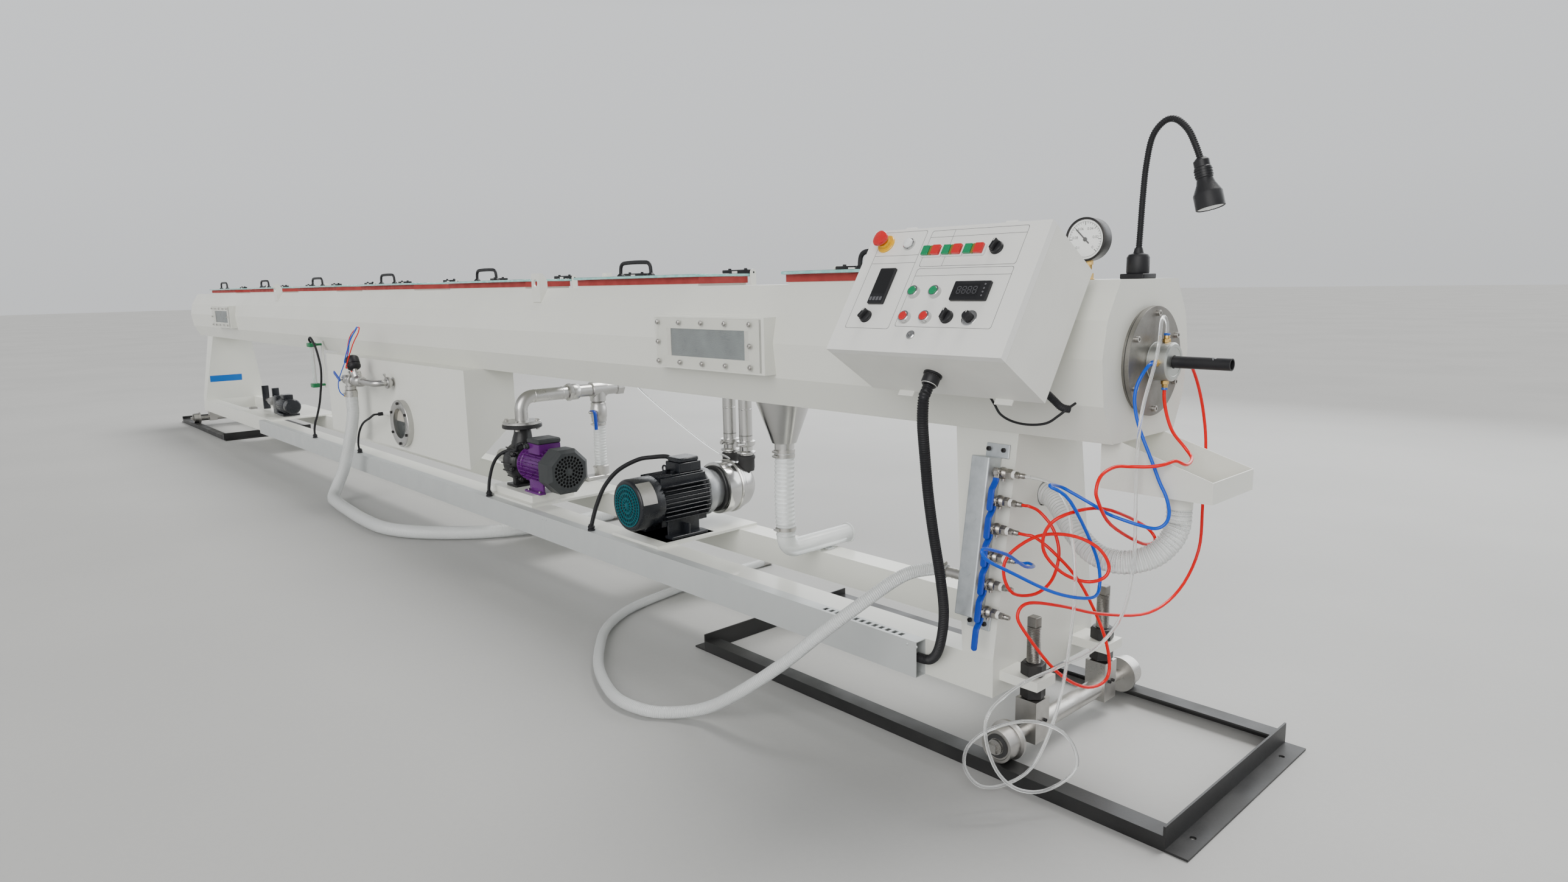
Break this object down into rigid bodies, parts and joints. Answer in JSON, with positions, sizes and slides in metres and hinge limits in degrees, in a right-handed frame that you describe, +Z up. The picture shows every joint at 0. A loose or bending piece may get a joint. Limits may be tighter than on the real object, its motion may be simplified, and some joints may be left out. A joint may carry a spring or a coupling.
{
  "type": "vacuum calibration tank for plastic pipe extrusion",
  "caption": "Long vacuum sizing tank of a plastic pipe line on two pedestals, with glass lids, pumps, control cabinet and calibrator, rolling on floor tracks.",
  "frame": {"origin": "on the floor under the middle of the near track's end angle, on the centre plane", "axes": "+X along the pipe towards its inlet, -Y the operator's side, +Z up"},
  "size_m": [9.632, 1.2789, 1.5509],
  "materials": {
    "white_paint": "light grey-white paint, satin",
    "galvanised": "galvanised sheet",
    "bare_steel": "ground bare steel",
    "bright_steel": "turned steel",
    "stainless": "stainless pipe work",
    "zinc": "zinc plated",
    "track_steel": "glossy black paint",
    "black_paint": "black paint",
    "purple_paint": "dark purple paint",
    "black_plastic": "black plastic",
    "glass": "float glass, green at its edges",
    "acrylic": "clear acrylic sheet",
    "silicone": "dark red silicone foam",
    "blue_vinyl": "dipped blue vinyl",
    "green_plastic": "green plastic",
    "white_plastic": "white plastic",
    "clear_tubing": "clear soft tubing",
    "red_tubing": "red tubing",
    "blue_tubing": "blue tubing",
    "grey_hose": "reinforced hose",
    "controls": "panel controls"
  },
  "bodies": {
    "tracks": {"near_track": "track_steel", "far_track": "track_steel"},
    "machine": {"base_frame": "white_paint", "near_pedestal": "white_paint", "far_pedestal": "white_paint", "jack_screws": "bare_steel", "axles": "bright_steel", "tank_trough": "white_paint", "tank_deck": "white_paint", "end_plates": "white_paint", "lid_gaskets": "silicone", "window_panes": "acrylic", "inlet_flange": "bare_steel", "calibrator": "zinc", "inlet_tube": "black_plastic", "water_box": "white_paint", "sight_flange": "stainless", "fill_valve": "stainless", "level_gauges": "green_plastic", "cable_tray": "galvanised", "cabinet_box": "white_paint", "vacuum_gauge": "stainless", "work_lamp": "black_paint", "water_pump": "black_paint", "water_pump_motor": "purple_paint", "discharge_pipe": "stainless", "vacuum_pump_motor": "black_paint", "vacuum_pump_head": "stainless", "vacuum_pipes": "stainless", "drain_cone": "stainless", "drain_pipe": "white_plastic", "valve_manifold": "galvanised", "catch_tray": "white_paint", "travel_drive": "black_paint", "wiring": "black_plastic", "clear_tube": "clear_tubing", "red_tube_low": "red_tubing", "red_tube_side": "red_tubing", "blue_tube": "blue_tubing", "tray_hose": "clear_tubing", "supply_hose": "grey_hose", "tank_hose": "clear_tubing", "hose_couplings": "bright_steel"},
    "near_wheels": {"near_wheels": "bright_steel"},
    "far_wheels": {"far_wheels": "bright_steel"},
    "door": {"cabinet_door": "white_paint", "door_controls": "controls"},
    "lid_1": {"lid_1": "glass"},
    "lid_2": {"lid_2": "glass"},
    "lid_3": {"lid_3": "glass"},
    "lid_4": {"lid_4": "glass"},
    "lid_5": {"lid_5": "glass"},
    "lid_6": {"lid_6": "glass"},
    "lid_7": {"lid_7": "glass"},
    "lever_1": {"lever_1": "blue_vinyl"},
    "lever_2": {"lever_2": "blue_vinyl"},
    "lever_3": {"lever_3": "blue_vinyl"},
    "lever_4": {"lever_4": "blue_vinyl"},
    "lever_5": {"lever_5": "blue_vinyl"},
    "lever_6": {"lever_6": "blue_vinyl"}
  },
  "joints": [
    {"name": "machine_travel", "type": "slide", "parent": "tracks", "child": "machine", "axis": [1, 0, 0], "range_m": [-0.3, 0.3]},
    {"name": "near_wheels_roll", "type": "hinge", "parent": "machine", "child": "near_wheels", "pos_m": [-0.4515, 0, 0.0773], "axis": [0, 1, 0], "range_deg": [-412, 412]},
    {"name": "far_wheels_roll", "type": "hinge", "parent": "machine", "child": "far_wheels", "pos_m": [-9.1255, 0, 0.0773], "axis": [0, 1, 0], "range_deg": [-412, 412]},
    {"name": "lid_1_hinge", "type": "hinge", "parent": "machine", "child": "lid_1", "pos_m": [-0.9985, 0.128, 1.236], "axis": [-1, 0, 0], "range_deg": [0, 100]},
    {"name": "lid_2_hinge", "type": "hinge", "parent": "machine", "child": "lid_2", "pos_m": [-2.2435, 0.128, 1.236], "axis": [-1, 0, 0], "range_deg": [0, 100]},
    {"name": "lid_3_hinge", "type": "hinge", "parent": "machine", "child": "lid_3", "pos_m": [-3.4885, 0.128, 1.236], "axis": [-1, 0, 0], "range_deg": [0, 100]},
    {"name": "lid_4_hinge", "type": "hinge", "parent": "machine", "child": "lid_4", "pos_m": [-4.7335, 0.128, 1.236], "axis": [-1, 0, 0], "range_deg": [0, 100]},
    {"name": "lid_5_hinge", "type": "hinge", "parent": "machine", "child": "lid_5", "pos_m": [-5.9785, 0.128, 1.236], "axis": [-1, 0, 0], "range_deg": [0, 100]},
    {"name": "lid_6_hinge", "type": "hinge", "parent": "machine", "child": "lid_6", "pos_m": [-7.2235, 0.128, 1.236], "axis": [-1, 0, 0], "range_deg": [0, 100]},
    {"name": "lid_7_hinge", "type": "hinge", "parent": "machine", "child": "lid_7", "pos_m": [-8.4685, 0.128, 1.236], "axis": [-1, 0, 0], "range_deg": [0, 100]},
    {"name": "cabinet_door_hinge", "type": "hinge", "parent": "machine", "child": "door", "pos_m": [-0.5665, -0.32838, 1.31328], "axis": [-1, 0, 0], "range_deg": [0, 110]},
    {"name": "lever_1_turn", "type": "hinge", "parent": "machine", "child": "lever_1", "pos_m": [-0.5415, -0.2109, 0.72546], "axis": [0, -0.9871, 0.1599], "range_deg": [0, 90]},
    {"name": "lever_2_turn", "type": "hinge", "parent": "machine", "child": "lever_2", "pos_m": [-0.5415, -0.2221, 0.65637], "axis": [0, -0.9871, 0.1599], "range_deg": [0, 90]},
    {"name": "lever_3_turn", "type": "hinge", "parent": "machine", "child": "lever_3", "pos_m": [-0.5415, -0.23329, 0.58727], "axis": [0, -0.9871, 0.1599], "range_deg": [0, 90]},
    {"name": "lever_4_turn", "type": "hinge", "parent": "machine", "child": "lever_4", "pos_m": [-0.5415, -0.24448, 0.51817], "axis": [0, -0.9871, 0.1599], "range_deg": [0, 90]},
    {"name": "lever_5_turn", "type": "hinge", "parent": "machine", "child": "lever_5", "pos_m": [-0.5415, -0.25567, 0.44907], "axis": [0, -0.9871, 0.1599], "range_deg": [0, 90]},
    {"name": "lever_6_turn", "type": "hinge", "parent": "machine", "child": "lever_6", "pos_m": [-0.5415, -0.26687, 0.37997], "axis": [0, -0.9871, 0.1599], "range_deg": [0, 90]}
  ],
  "couplings": [
    {"joint": "near_wheels_roll", "follows": "machine_travel", "rad_per_m": 23.81},
    {"joint": "far_wheels_roll", "follows": "machine_travel", "rad_per_m": 23.81}
  ]
}
